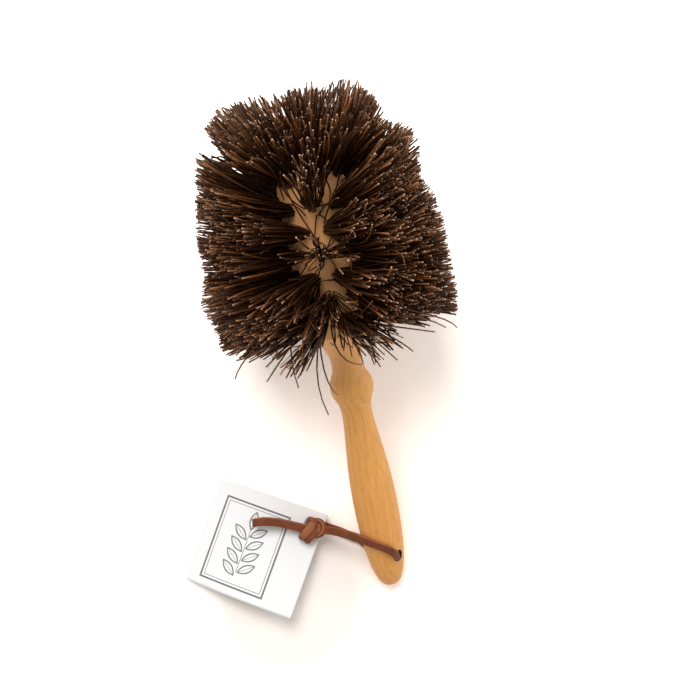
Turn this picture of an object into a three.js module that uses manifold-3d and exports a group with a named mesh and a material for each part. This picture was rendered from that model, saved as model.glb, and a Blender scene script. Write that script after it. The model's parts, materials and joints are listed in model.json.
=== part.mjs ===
// A flowerpot brush: one turned piece of beech, tufts of stiff plant fibre round its head,
// a knotted leather thong through its grip and a folded card tag on the thong.
// Millimetres, +Z up. The brush lies on a table on the tips of its rear tufts and on the
// end of its grip, with the head towards +Y. The origin is below the middle of the brush.
import * as THREE from 'three';
import { mergeVertices } from 'three/addons/utils/BufferGeometryUtils.js';
import Module from 'manifold-3d';

const wasm = await Module();
wasm.setup();

// Turned body: lengths along its axis, one after the other from the end of the grip
const GRIP_LENGTH = 95;
const GRIP_WIDEST_AT = 46;
const GRIP_DIAMETER = 21.6;
const GRIP_END_ROUND = 14;
const GRIP_END_BLUNT = 15.2; // width of the nearly flat middle of the end
const WAIST_DIAMETER = 14.7;
const WAIST_TO_BEAD = 14.4;
const BEAD_DIAMETER = 20.8;
const BEAD_TO_NECK = 12.1;
const NECK_DIAMETER = 15;
const NECK_TO_CORE = 18.3;
const FLARE_START_DIAMETER = 19; // where the neck turns outwards to the core
const CORE_DIAMETER = 32;
const NOSE_LENGTH = 15;

// How far a turned curve runs along the axis at its two ends, as a share of its length
const GRIP_CREST_EASE = 0.45;
const GRIP_HOLLOW_EASE = 0.2;
const CREST_EASE = 0.42;
const HOLLOW_EASE = 0.58;
const FLARE_LEAVE = 0.36;
const FLARE_ARRIVE = 0.49;

// Hole for the thong, across the grip and rolled to the right
const HOLE_AT = 18.3;
const HOLE_DIAMETER = 5.4;
const HOLE_ROLL = THREE.MathUtils.degToRad(40);

// Tufts: staggered rings round the core, one ring on the nose and one tuft at its tip
const RING_COUNT = 6;
const RINGS_PER_SLEEVE = 2;
const RING_PITCH = 10.5;
const RING_MARGIN = 9.5; // from the start of the core to the first ring
const TUFTS_PER_RING = 10;
const RING_ROLL = THREE.MathUtils.degToRad(12);
const NOSE_RING_SHARE = 0.53; // of the nose's length
const NOSE_TUFTS = 7;
const SLEEVE_WALL = 3; // wood that carries the tufts, as a slice of the core

// Bristles: each tuft is one middle strand with others round it
const STRANDS_ROUND = 5;
const STRAND_SIDES = 3;
const STRAND_ROOT_WIDTH = 1.5;
const STRAND_TIP_WIDTH = 1.3;
const STRAND_DEPTH = 1.4; // how far a strand goes into the wood
const TUFT_RADIUS = 1.75;
const TUFT_SPREAD_ROUND = THREE.MathUtils.degToRad(11.5);
const TUFT_SPREAD_ALONG = 8;
const STRAND_UNEVEN = 1.1; // how far a tip may stray from its place

// Outline of the bristle tips, a rounded form about the first ring
const HEAD_DIAMETER = 121;
const HEAD_FULLNESS = 3; // 2 is an ellipse
const REAR_REACH = 40;
const NOSE_BRISTLE = 34.5;
const REAR_LEAN = 13; // how far the first ring's lowest tips lie behind their roots
const TOP_LEAN = 0; // the same for its upmost tips
const TOP_FADE = 0.5; // share of that difference that each next ring keeps
const TIP_PITCH = 18.2;
const NOSE_TIP_BACK = 11; // nose ring's tips, behind the foremost tip
const NOSE_SPREAD_ALONG = 5;
const NOSE_SPREAD_ROUND = THREE.MathUtils.degToRad(15);
const END_TUFT_SPREAD = 12;
const TIP_PRESS = 2; // how far the lowest tips give way under the brush
const FLOOR_CUT = 0.5; // depth of the flat that the brush rests on

// Leather thong
const THONG_WIDTH = 4.1;
const THONG_THICKNESS = 2.3;
const THONG_BEVEL = 0.55;
const THONG_STEP = 1.6;
const KNOT_WIDTH = 13.4;
const KNOT_HEIGHT = 10;
const KNOT_LEANS = [30, 125].map(THREE.MathUtils.degToRad); // how the two bands of the knot lean
const MOUTH_DEPTH = 0.7; // of the place in the hole where the next stretch of the thong starts
const MOUTH_SHIFT = 0.7; // how far the thong lies off the hole's axis at its upper mouth

// Card tag, folded once, with the thong through the corner of its fold
const TAG_WIDTH = 56;
const TAG_HEIGHT = 55;
const TAG_LEAF = 0.35;
const TAG_LEAF_GAP = 0.4;
const TAG_HOLE_DIAMETER = 7.6;
const TAG_HOLE_EDGE = 6.5;
const TAG_CORNER = 1.2;
const TAG_CORNER_STEPS = 3;
const TAG_HEADING = THREE.MathUtils.degToRad(149.1);
const TAG_TILT = THREE.MathUtils.degToRad(4.5);

const GAP = 0.3; // between pieces that touch
const TABLE_GAP = 0.05; // below the lowest edge of the tag
const TURNED_SIDES = 32;
const HOLE_SIDES = 16;
const CURVE_STEPS = 7;
const NOSE_STEPS = 4;
const BAND_SIDES = 12;

// Places that follow from the sizes
const WAIST_AT = GRIP_LENGTH;
const BEAD_AT = WAIST_AT + WAIST_TO_BEAD;
const NECK_AT = BEAD_AT + BEAD_TO_NECK;
const CORE_AT = NECK_AT + NECK_TO_CORE;
const CORE_RADIUS = CORE_DIAMETER / 2;
const CORE_LENGTH = RING_MARGIN + (RING_COUNT - 0.5) * RING_PITCH;
const NOSE_AT = CORE_AT + CORE_LENGTH;
const NOSE_END = NOSE_AT + NOSE_LENGTH;
const FIRST_RING = CORE_AT + RING_MARGIN;
const FRONT_REACH = NOSE_END + NOSE_BRISTLE - FIRST_RING;
const TAG_THICKNESS = 2 * TAG_LEAF + TAG_LEAF_GAP;

const wood = new THREE.MeshStandardMaterial({ color: 0xd39a5c, roughness: 0.55, metalness: 0 });
const fibre = new THREE.MeshStandardMaterial({ color: 0x3a1e12, roughness: 0.5, metalness: 0 });
const leather = new THREE.MeshStandardMaterial({ color: 0x7d4128, roughness: 0.65, metalness: 0 });
const card = new THREE.MeshStandardMaterial({ color: 0xf4f1ea, roughness: 0.85, metalness: 0 });

// Solids for boolean work
function solid(geometry) {
  const bare = geometry.index ? geometry.clone() : geometry;
  bare.deleteAttribute('normal');
  bare.deleteAttribute('uv');
  const merged = mergeVertices(bare, 1e-4);
  return new wasm.Manifold(new wasm.Mesh({
    numProp: 3,
    vertProperties: new Float32Array(merged.attributes.position.array),
    triVerts: new Uint32Array(merged.index.array),
  }));
}

function geometryOf(manifold) {
  const mesh = manifold.getMesh();
  const geometry = new THREE.BufferGeometry();
  geometry.setAttribute('position', new THREE.BufferAttribute(mesh.vertProperties, 3));
  geometry.setIndex(new THREE.BufferAttribute(mesh.triVerts, 1));
  geometry.computeVertexNormals();
  return geometry;
}

function piece(name, manifold, material) {
  const mesh = new THREE.Mesh(geometryOf(manifold), material);
  mesh.name = name;
  return mesh;
}

function turned(profile) {
  return new THREE.LatheGeometry(profile, TURNED_SIDES);
}

// A small repeatable source of unevenness, from -1 to 1: each number is the last one times a
// factor, less all whole multiples of a prime
const FACTOR = 16807;
const PRIME = 2147483647;
let drawn = 20261;
function uneven() {
  drawn = (drawn * FACTOR) % PRIME;
  return (2 * drawn) / PRIME - 1;
}

// Turned body. Its profile holds radius and distance along the axis.
const spigotRadius = CORE_RADIUS - SLEEVE_WALL - GAP;

// Adds a curve that starts and ends along the axis, from the line's last point
function swell(line, radius, along, leave, arrive) {
  const { x, y } = line.currentPoint;
  const length = along - y;
  line.bezierCurveTo(x, y + leave * length, radius, along - arrive * length, radius, along);
}

function bodyProfile() {
  const grip = GRIP_DIAMETER / 2;
  const line = new THREE.Path();
  line.moveTo(0, 0);
  line.bezierCurveTo(GRIP_END_BLUNT / 2, 0, grip, GRIP_END_ROUND, grip, GRIP_WIDEST_AT);
  swell(line, WAIST_DIAMETER / 2, WAIST_AT, GRIP_CREST_EASE, GRIP_HOLLOW_EASE);
  swell(line, BEAD_DIAMETER / 2, BEAD_AT, HOLLOW_EASE, CREST_EASE);
  swell(line, NECK_DIAMETER / 2, NECK_AT, CREST_EASE, HOLLOW_EASE);
  line.bezierCurveTo(
    NECK_DIAMETER / 2, NECK_AT + FLARE_LEAVE * NECK_TO_CORE,
    FLARE_START_DIAMETER / 2, CORE_AT - FLARE_ARRIVE * NECK_TO_CORE,
    CORE_RADIUS, CORE_AT);
  const points = line.getPoints(CURVE_STEPS);
  points.push(new THREE.Vector2(spigotRadius, CORE_AT));
  points.push(new THREE.Vector2(spigotRadius, NOSE_AT - GAP));
  points.push(new THREE.Vector2(0, NOSE_AT - GAP));
  return points;
}

const profile = bodyProfile();

function turnedBody() {
  const bore = new THREE.CylinderGeometry(
    HOLE_DIAMETER / 2, HOLE_DIAMETER / 2, 2 * GRIP_DIAMETER, HOLE_SIDES);
  bore.rotateX(Math.PI / 2);
  bore.rotateY(HOLE_ROLL);
  bore.translate(0, HOLE_AT, 0);
  return piece('turned_body', solid(turned(profile)).subtract(solid(bore)), wood);
}

// A point of the brush from its angle round the axis, distance along it and radius.
// Angle 0 is the top, and the angle grows to the right.
function around(angle, along, radius) {
  return new THREE.Vector3(radius * Math.sin(angle), along, radius * Math.cos(angle));
}

function headRadius(along) {
  const reach = along < FIRST_RING ? REAR_REACH : FRONT_REACH;
  const share = Math.min(Math.abs(along - FIRST_RING) / reach, 1);
  const rise = (1 - share ** HEAD_FULLNESS) ** (1 / HEAD_FULLNESS);
  return (HEAD_DIAMETER / 2) * rise;
}

// The strands of a tuft that stands at a root on the wood. Each has its own root and tip.
function tuftStrands(root, outward, angle, tipAlong, spreadRound, spreadAlong) {
  const across = new THREE.Vector3(Math.cos(angle), 0, -Math.sin(angle));
  const forward = new THREE.Vector3().crossVectors(outward, across);
  const strands = [];
  for (let i = 0; i <= STRANDS_ROUND; i++) {
    const turn = (2 * Math.PI * (i + 0.5)) / STRANDS_ROUND;
    const out = i === STRANDS_ROUND ? 0 : 1;
    const side = out * Math.cos(turn);
    const ahead = out * Math.sin(turn);
    const from = root.clone();
    from.addScaledVector(across, TUFT_RADIUS * side);
    from.addScaledVector(forward, TUFT_RADIUS * ahead);
    const tipAt = tipAlong + spreadAlong * ahead + STRAND_UNEVEN * uneven();
    const radius = headRadius(tipAt) - STRAND_UNEVEN * (1 + uneven());
    const to = around(angle + spreadRound * side, tipAt, radius);
    strands.push({ from, to });
  }
  return strands;
}

// Upper tufts stand straighter than lower ones, mostly in the first rings
function lean(ring, angle) {
  const upper = (1 + Math.cos(angle)) / 2;
  return REAR_LEAN - (REAR_LEAN - TOP_LEAN) * upper * TOP_FADE ** ring;
}

function ringStrands(ring) {
  const strands = [];
  const along = FIRST_RING + ring * RING_PITCH;
  for (let k = 0; k < TUFTS_PER_RING; k++) {
    const angle = RING_ROLL + (2 * Math.PI * (k - 0.5 * (ring % 2))) / TUFTS_PER_RING;
    const tipAlong = FIRST_RING + ring * TIP_PITCH - lean(ring, angle);
    const root = around(angle, along, CORE_RADIUS);
    const outward = around(angle, 0, 1);
    strands.push(...tuftStrands(root, outward, angle, tipAlong, TUFT_SPREAD_ROUND, TUFT_SPREAD_ALONG));
  }
  return strands;
}

function noseRadius(share) {
  return CORE_RADIUS * Math.sqrt(1 - share ** 2);
}

function noseStrands() {
  const strands = [];
  const along = NOSE_AT + NOSE_RING_SHARE * NOSE_LENGTH;
  const tipAlong = NOSE_END + NOSE_BRISTLE - NOSE_TIP_BACK;
  for (let k = 0; k < NOSE_TUFTS; k++) {
    const angle = RING_ROLL + (2 * Math.PI * k) / NOSE_TUFTS;
    const root = around(angle, along, noseRadius(NOSE_RING_SHARE));
    const outward = new THREE.Vector3(0, 1, 0).add(around(angle, 0, 1)).normalize();
    strands.push(...tuftStrands(root, outward, angle, tipAlong, NOSE_SPREAD_ROUND, NOSE_SPREAD_ALONG));
  }
  for (let i = 0; i <= STRANDS_ROUND; i++) {
    const turn = (2 * Math.PI * i) / STRANDS_ROUND;
    const out = i === STRANDS_ROUND ? 0 : 1;
    const from = around(turn, NOSE_END, out * TUFT_RADIUS);
    const to = around(turn, NOSE_END + NOSE_BRISTLE, out * END_TUFT_SPREAD);
    strands.push({ from, to });
  }
  return strands;
}

function strandSection() {
  const corners = [];
  for (let i = 0; i < STRAND_SIDES; i++) {
    const turn = (2 * Math.PI * i) / STRAND_SIDES;
    corners.push(new THREE.Vector2(Math.cos(turn), Math.sin(turn)).multiplyScalar(STRAND_ROOT_WIDTH / 2));
  }
  return new THREE.Shape(corners);
}

function strandSolid({ from, to }) {
  const direction = to.clone().sub(from).normalize();
  const start = from.clone().addScaledVector(direction, -STRAND_DEPTH);
  const length = start.distanceTo(to);
  const shaft = new THREE.ExtrudeGeometry(strandSection(), { depth: length, bevelEnabled: false });
  const places = shaft.attributes.position;
  for (let i = 0; i < places.count; i++) {
    const taper = 1 + (STRAND_TIP_WIDTH / STRAND_ROOT_WIDTH - 1) * (places.getZ(i) / length);
    places.setXY(i, places.getX(i) * taper, places.getY(i) * taper);
  }
  shaft.applyQuaternion(new THREE.Quaternion().setFromUnitVectors(new THREE.Vector3(0, 0, 1), direction));
  shaft.translate(start.x, start.y, start.z);
  return solid(shaft);
}

const ringGroups = [];
for (let first = 0; first < RING_COUNT; first += RINGS_PER_SLEEVE) {
  const strands = [];
  for (let ring = first; ring < Math.min(first + RINGS_PER_SLEEVE, RING_COUNT); ring++) {
    strands.push(...ringStrands(ring));
  }
  ringGroups.push(strands);
}
const noseGroup = noseStrands();
const allStrands = [...ringGroups.flat(), ...noseGroup];

// The tilt at which the end of the grip and the lowest tips, pressed a little, touch the table
function lowest(points, tilt) {
  return Math.min(...points.map((p) => p.y * Math.sin(tilt) + p.z * Math.cos(tilt)));
}

const gripUnderside = profile.map((p) => new THREE.Vector3(0, p.y, -p.x));
const strandTips = allStrands.map((strand) => strand.to);

function restTilt() {
  let low = 0;
  let high = Math.PI / 3;
  for (let i = 0; i < 50; i++) {
    const middle = (low + high) / 2;
    const headHeight = lowest(strandTips, middle) + TIP_PRESS - lowest(gripUnderside, middle);
    if (headHeight < 0) low = middle;
    else high = middle;
  }
  return (low + high) / 2;
}

const TILT = restTilt();
const LIFT = -lowest(gripUnderside, TILT);

// A point of the brush as it lies on the table
function onTable(point) {
  return point.clone().applyAxisAngle(new THREE.Vector3(1, 0, 0), TILT).add(new THREE.Vector3(0, 0, LIFT));
}

// Tips that would reach below the table end in it, and the cut then leaves them flat
for (const strand of allStrands) {
  const root = onTable(strand.from).z;
  const tip = onTable(strand.to).z;
  if (tip < -FLOOR_CUT) {
    const share = (root + FLOOR_CUT) / (root - tip);
    strand.to = strand.from.clone().lerp(strand.to, share);
  }
}

function belowTable() {
  const size = 4 * (NOSE_END + HEAD_DIAMETER);
  const slab = new THREE.BoxGeometry(size, size, size);
  slab.translate(0, 0, -LIFT - size / 2);
  slab.rotateX(-TILT);
  return solid(slab);
}

// Bristle groups, each fused to its slice of the core
function sleeve(from, to) {
  const inner = CORE_RADIUS - SLEEVE_WALL;
  const ring = [[inner, from], [CORE_RADIUS, from], [CORE_RADIUS, to], [inner, to], [inner, from]];
  return solid(turned(ring.map(([r, y]) => new THREE.Vector2(r, y))));
}

function noseCap() {
  const line = new THREE.Path();
  line.moveTo(0, NOSE_AT);
  line.lineTo(CORE_RADIUS, NOSE_AT);
  line.absellipse(0, NOSE_AT, CORE_RADIUS, NOSE_LENGTH, 0, Math.PI / 2);
  const points = line.getPoints(NOSE_STEPS);
  points.at(-1).x = 0;
  return solid(turned(points));
}

function bristles(name, backing, strands) {
  let joined = backing;
  for (const strand of strands) joined = joined.add(strandSolid(strand));
  return piece(name, joined.subtract(belowTable()), fibre);
}

function ringBristles(name, group) {
  const before = group * RINGS_PER_SLEEVE;
  const margin = FIRST_RING - RING_PITCH / 2;
  const from = group === 0 ? CORE_AT : margin + before * RING_PITCH;
  const last = Math.min(before + RINGS_PER_SLEEVE, RING_COUNT);
  const to = margin + last * RING_PITCH - GAP;
  return bristles(name, sleeve(from + (group === 0 ? GAP : 0), to), ringGroups[group]);
}

// Thong: a flat strip with bevelled edges along a curve. Each point of a route has a place on
// the table, measured from below the end of the grip, and the way that its width points.
class FlatCurve extends THREE.CatmullRomCurve3 {
  constructor(route) {
    super(route.map(([at]) => new THREE.Vector3(...at)), false, 'centripetal');
    this.sides = route.map(([, side]) => new THREE.Vector3(...side));
  }

  computeFrenetFrames(segments) {
    const tangents = [];
    const normals = [];
    const binormals = [];
    for (let i = 0; i <= segments; i++) {
      const t = this.getUtoTmapping(i / segments);
      const at = t * (this.sides.length - 1);
      const k = Math.min(Math.floor(at), this.sides.length - 2);
      const side = this.sides[k].clone().lerp(this.sides[k + 1], at - k);
      const tangent = this.getTangent(t);
      const normal = side.addScaledVector(tangent, -side.dot(tangent)).normalize();
      tangents.push(tangent);
      normals.push(normal);
      binormals.push(new THREE.Vector3().crossVectors(tangent, normal));
    }
    return { tangents, normals, binormals };
  }
}

function thongSection() {
  const w = THONG_WIDTH / 2;
  const h = THONG_THICKNESS / 2;
  const b = THONG_BEVEL;
  const corners = [
    [w, h - b], [w - b, h], [b - w, h], [-w, h - b], [-w, b - h], [b - w, -h], [w - b, -h], [w, b - h],
  ];
  return new THREE.Shape(corners.map(([x, y]) => new THREE.Vector2(x, y)));
}

function thong(route) {
  const curve = new FlatCurve(route);
  const steps = Math.ceil(curve.getLength() / THONG_STEP);
  return solid(new THREE.ExtrudeGeometry(thongSection(), { extrudePath: curve, steps }));
}

// Places by the hole: out along its axis, aside from it round the grip and along the grip
const holeAxis = around(HOLE_ROLL, 0, 1);
const holeSide = around(HOLE_ROLL - Math.PI / 2, 0, 1);
const rim = turnedRadius(HOLE_AT);
const mouth = rim - MOUTH_DEPTH;

// Radius of the turned body at a place along its axis
function turnedRadius(along) {
  const next = profile.findIndex((p) => p.y >= along);
  const [a, b] = [profile[next - 1], profile[next]];
  return THREE.MathUtils.mapLinear(along, a.y, b.y, a.x, b.x);
}

function byHole(out, aside = 0, along = 0) {
  const place = new THREE.Vector3(0, HOLE_AT + along, 0);
  return onTable(place.addScaledVector(holeAxis, out).addScaledVector(holeSide, aside)).toArray();
}

const gripWay = onTable(new THREE.Vector3(0, 1, 0)).sub(onTable(new THREE.Vector3())).toArray();
const holeRoute = [[-mouth, 0], [0, 0], [mouth, MOUTH_SHIFT]].map((at) => [byHole(...at), gripWay]);

// Free stretches, chosen by hand: over the grip to the knot, under the grip and up through
// the tag to the knot, and the two tails that leave the knot side by side, one on the other
const LEVEL = [0.43, 0.9, 0];
const TAIL_LEVEL = [0.32, 0.95, 0];
const upperRoute = [
  [byHole(mouth + 2 * GAP, MOUTH_SHIFT), gripWay],
  [byHole(rim + 0.5, 0.75, 0.05), gripWay],
  [byHole(rim + 1.7, 1.3, 0.7), gripWay],
  [byHole(rim + 2.2, 2.6, 2.3), gripWay],
  [byHole(rim + 1.1, 5, 5), gripWay],
  [[-2, 21.1, 24.7], [0.45, 0.82, 0.35]],
  [[-6.3, 23.6, 24.1], [0.39, 0.79, 0.47]],
  [[-9.8, 25.6, 22.2], [0.4, 0.84, 0.36]],
  [[-13.5, 27.5, 19.3], [0.43, 0.88, 0.2]],
  [[-17.9, 29.5, 16.6], LEVEL],
  [[-22, 31.3, 14.2], LEVEL],
  [[-26.3, 32.8, 12.2], LEVEL],
  [[-30, 33.8, 11], LEVEL],
  [[-33.4, 34.4, 10.6], LEVEL],
];
const lowerRoute = [
  [byHole(-mouth - GAP), gripWay],
  [byHole(-rim - 0.6), gripWay],
  [[-8.9, 21.3, 2.1], LEVEL],
  [[-11.8, 22.7, 1.5], LEVEL],
  [[-16, 24.9, 1.3], LEVEL],
  [[-20.6, 27.8, 1.3], LEVEL],
  [[-25.4, 31.2, 1.4], [0.6, 0.8, 0]],
  [[-29.6, 34.3, 2], [0.6, 0.8, 0]],
  [[-32.7, 36.6, 3.9], [0.6, 0.8, 0]],
  [[-34.4, 37.8, 6], [0.6, 0.8, 0]],
  [[-34.7, 37.3, 8.2], [0.6, 0.8, 0]],
  [[-33.8, 35.6, 10.2], [0.6, 0.8, 0]],
];
const upperTail = [
  [[-33.4, 34.4, 10.9], TAIL_LEVEL],
  [[-38.4, 36.3, 9.8], TAIL_LEVEL],
  [[-44.4, 38.5, 9], TAIL_LEVEL],
  [[-50.4, 40.6, 8.5], TAIL_LEVEL],
  [[-56.4, 42.4, 8.3], TAIL_LEVEL],
  [[-61.8, 43.9, 8.3], TAIL_LEVEL],
];
const lowerTail = [
  [[-33.4, 34.4, 8.3], TAIL_LEVEL],
  [[-38.4, 36.3, 7.1], TAIL_LEVEL],
  [[-44.4, 38.5, 6.3], TAIL_LEVEL],
  [[-50.4, 40.6, 5.8], TAIL_LEVEL],
  [[-56.4, 42.4, 5.6], TAIL_LEVEL],
  [[-61.2, 43.7, 5.6], TAIL_LEVEL],
];
const knotPlace = new THREE.Vector3(-33.4, 34.4, 10.5);

// Knot: two bands of the thong crossing over a rounded middle
function knotBand(grow) {
  const inner = KNOT_WIDTH / 2 - THONG_THICKNESS;
  const outer = KNOT_WIDTH / 2 + grow;
  const half = THONG_WIDTH / 2 + grow;
  const edge = half - THONG_BEVEL;
  const ring = [[inner, -half], [outer - THONG_BEVEL, -half], [outer, -edge], [outer, edge],
    [outer - THONG_BEVEL, half], [inner, half], [inner, -half]];
  return new THREE.LatheGeometry(ring.map(([r, y]) => new THREE.Vector2(r, y)), BAND_SIDES);
}

function knotSolid(grow) {
  const middle = new THREE.SphereGeometry(KNOT_WIDTH / 2 - THONG_BEVEL + grow, BAND_SIDES, BAND_SIDES / 2);
  let joined = solid(middle);
  for (const lean of KNOT_LEANS) {
    const band = knotBand(grow);
    band.rotateX(lean);
    band.rotateZ(lean / 2);
    joined = joined.add(solid(band));
  }
  const { x, y, z } = knotPlace;
  return joined.scale([1, 1, KNOT_HEIGHT / KNOT_WIDTH]).translate([x, y, z]);
}

function thongToKnot(name, route) {
  return piece(name, thong(route).subtract(knotSolid(GAP)), leather);
}

// Tag: a folded card, lying with the edge away from its fold on the table
const tagPlace = new THREE.Vector3(-33.7, 37.5, tagHoleHeight());

function tagHoleHeight() {
  const drop = (TAG_WIDTH - TAG_HOLE_EDGE) * Math.sin(TAG_TILT);
  return drop + (TAG_THICKNESS / 2) * Math.cos(TAG_TILT) + TABLE_GAP;
}

function tagOutline() {
  const [x0, y0] = [-TAG_HOLE_EDGE, -TAG_HOLE_EDGE];
  const [x1, y1] = [x0 + TAG_WIDTH, y0 + TAG_HEIGHT];
  const r = TAG_CORNER;
  const shape = new THREE.Shape();
  shape.moveTo(x0, y0);
  shape.lineTo(x1 - r, y0);
  shape.absarc(x1 - r, y0 + r, r, -Math.PI / 2, 0);
  shape.lineTo(x1, y1 - r);
  shape.absarc(x1 - r, y1 - r, r, 0, Math.PI / 2);
  shape.lineTo(x0, y1);
  shape.closePath();
  return shape;
}

function hangTag() {
  const leaves = new THREE.ExtrudeGeometry(tagOutline(), {
    depth: TAG_THICKNESS, bevelEnabled: false, curveSegments: TAG_CORNER_STEPS,
  });
  leaves.translate(0, 0, -TAG_THICKNESS / 2);
  const between = new THREE.BoxGeometry(TAG_WIDTH, 2 * TAG_HEIGHT, TAG_LEAF_GAP);
  between.translate(TAG_WIDTH / 2 - TAG_HOLE_EDGE + TAG_LEAF, TAG_HEIGHT / 2 - TAG_HOLE_EDGE, 0);
  const punch = new THREE.CylinderGeometry(
    TAG_HOLE_DIAMETER / 2, TAG_HOLE_DIAMETER / 2, 2 * TAG_WIDTH, HOLE_SIDES);
  punch.rotateX(Math.PI / 2);
  const cut = solid(leaves).subtract(solid(between)).subtract(solid(punch));
  const mesh = piece('hang_tag', cut, card);
  mesh.rotation.set(0, TAG_TILT, TAG_HEADING, 'ZYX');
  mesh.position.copy(tagPlace);
  return mesh;
}

// Assembly
const brush = new THREE.Group();
brush.add(
  turnedBody(),
  ringBristles('bristles_rear', 0),
  ringBristles('bristles_middle', 1),
  ringBristles('bristles_front', 2),
  bristles('bristles_nose', noseCap(), noseGroup),
);
brush.rotation.x = TILT;
brush.position.z = LIFT;

const flowerpotBrush = new THREE.Group();
flowerpotBrush.add(
  brush,
  piece('thong_in_hole', thong(holeRoute), leather),
  thongToKnot('thong_upper', upperRoute),
  thongToKnot('thong_lower', lowerRoute),
  piece('thong_knot', knotSolid(0), leather),
  thongToKnot('thong_tail_upper', upperTail),
  thongToKnot('thong_tail_lower', lowerTail),
  hangTag(),
);

const middle = new THREE.Box3().setFromObject(brush, true).getCenter(new THREE.Vector3());
flowerpotBrush.position.set(-middle.x, -middle.y, 0);

export default flowerpotBrush;
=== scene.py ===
"""Looks of a flowerpot brush: turned beech, tufts of plant fibre, a leather thong and a card tag.

Sizes and places are in millimetres, and piece() turns them into metres. Two frames are used: the
brush's own, with its axis along +Y from the end of the grip, its top at +Z and its right at +X,
and the table's, with its origin on the table below the end of the grip.
"""
import json
import math

import bpy
import numpy as np
from mathutils import Matrix, Vector


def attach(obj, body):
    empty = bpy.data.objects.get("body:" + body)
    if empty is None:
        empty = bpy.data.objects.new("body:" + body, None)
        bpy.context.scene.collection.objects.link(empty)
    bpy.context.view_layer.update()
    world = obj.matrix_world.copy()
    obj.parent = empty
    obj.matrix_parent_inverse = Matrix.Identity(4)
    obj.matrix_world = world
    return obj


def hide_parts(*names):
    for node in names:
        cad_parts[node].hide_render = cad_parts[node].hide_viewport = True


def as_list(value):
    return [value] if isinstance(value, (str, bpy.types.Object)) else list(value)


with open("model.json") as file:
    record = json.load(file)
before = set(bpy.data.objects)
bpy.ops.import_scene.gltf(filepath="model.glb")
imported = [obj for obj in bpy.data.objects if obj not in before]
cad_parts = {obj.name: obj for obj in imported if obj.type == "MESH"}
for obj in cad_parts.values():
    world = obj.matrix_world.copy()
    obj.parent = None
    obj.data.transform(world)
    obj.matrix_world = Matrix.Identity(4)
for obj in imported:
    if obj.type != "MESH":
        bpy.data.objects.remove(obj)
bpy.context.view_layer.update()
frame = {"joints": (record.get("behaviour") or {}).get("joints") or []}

MM = 0.001
SEED = 41

# How the brush lies on the table
TILT = math.radians(21.136135)
LIFT = 4.0456

# Turned body, along its axis from the end of the grip
GRIP_LENGTH = 95
GRIP_WIDEST_AT = 46
GRIP_DIAMETER = 21.6
GRIP_END_ROUND = 14
GRIP_END_BLUNT = 13.2
GRIP_END_FLAT = 5.2
GRIP_END_AT = 0.9
WAIST_DIAMETER = 14.7
WAIST_TO_BEAD = 14.4
BEAD_DIAMETER = 20.8
BEAD_TO_NECK = 12.1
NECK_DIAMETER = 15
NECK_TO_CORE = 18.3
FLARE_START_DIAMETER = 19
CORE_DIAMETER = 32
NOSE_LENGTH = 15
GRIP_CREST_EASE = 0.45
GRIP_HOLLOW_EASE = 0.2
CREST_EASE = 0.42
HOLLOW_EASE = 0.58
FLARE_LEAVE = 0.36
FLARE_ARRIVE = 0.49
HOLE_AT = 18.3
HOLE_DIAMETER = 5.4
HOLE_LIP = 0.9
HOLE_LIP_AT_MOUTH = 0.25
HOLE_ROLL = math.radians(40)
HOLE_SIDES = 48
TURNED_SIDES = 96
CURVE_STEPS = 36
CORE_STEPS = 40

# Tufts
RING_COUNT = 6
RINGS_PER_GROUP = 2
RING_PITCH = 10.5
RING_MARGIN = 9.5
TUFTS_PER_RING = 10
RING_ROLL = math.radians(12)
NOSE_RING_SHARE = 0.53
NOSE_TUFTS = 7
HEAD_DIAMETER = 121
HEAD_FULLNESS = 3
REAR_REACH = 40
NOSE_BRISTLE = 34.5
REAR_LEAN = 13
TOP_LEAN = 0
TOP_FADE = 0.5
TIP_PITCH = 18.2
NOSE_TIP_BACK = 11

# Fibres
FIBRES_PER_TUFT = 92
FIBRES_PER_NOSE_TUFT = 125
FIBRE_SIDES = 6
FIBRE_RINGS = 7
FIBRE_DEPTH = 2.5
FIBRE_WIDTH = 0.7
FIBRE_WIDTH_SPREAD = 0.16
FIBRE_WIDTH_RANGE = (0.4, 1.1)
STRAY_WIDTH = 0.75
STRAY_TONE = 0.7
STRAY_FADE = 0.7
FIBRE_TIP_TAPER = 0.85
TUFT_RADIUS = 2.2
SPREAD_ROUND = math.radians(12.5)
SPREAD_ALONG = 8
NOSE_SPREAD_ROUND = math.radians(25)
NOSE_SPREAD_ALONG = 8
END_TUFT_SPREAD = 19
END_TUFT_DOME = 4
TIP_SCATTER = 0.32
TIP_UNEVEN = 1.7
TUFT_TURN = math.radians(1.5)
TUFT_SHIFT = 1.2
HEAD_TRIM = 1.8
TUFT_TRIM = 1.8
FIBRE_BOW = 0.025
BOW_LIMIT = 2
ROOT_BOW = 0.1
STRAY_SHARE = 0.1
STRAY_BOW = 0.08
STRAY_SCATTER = 0.45
FIBRE_FLOOR = 0.5
FIBRE_CLEAR = 0.6
DARK_SHARE = 0.68
DARK_TONES = (1, 12)
PALE_TONES = (3, 1.7)
CUT_MARK = 1.2
STEEP = 0.8

# Flat layout of a fibre, as shares of its cell
LAYOUT_MARGIN = 0.06
LAYOUT_SIDES_END = 0.8
LAYOUT_TIP_AT = 0.87
LAYOUT_ROOT_AT = 0.95
LAYOUT_DISC = (0.06, 0.03)

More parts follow.
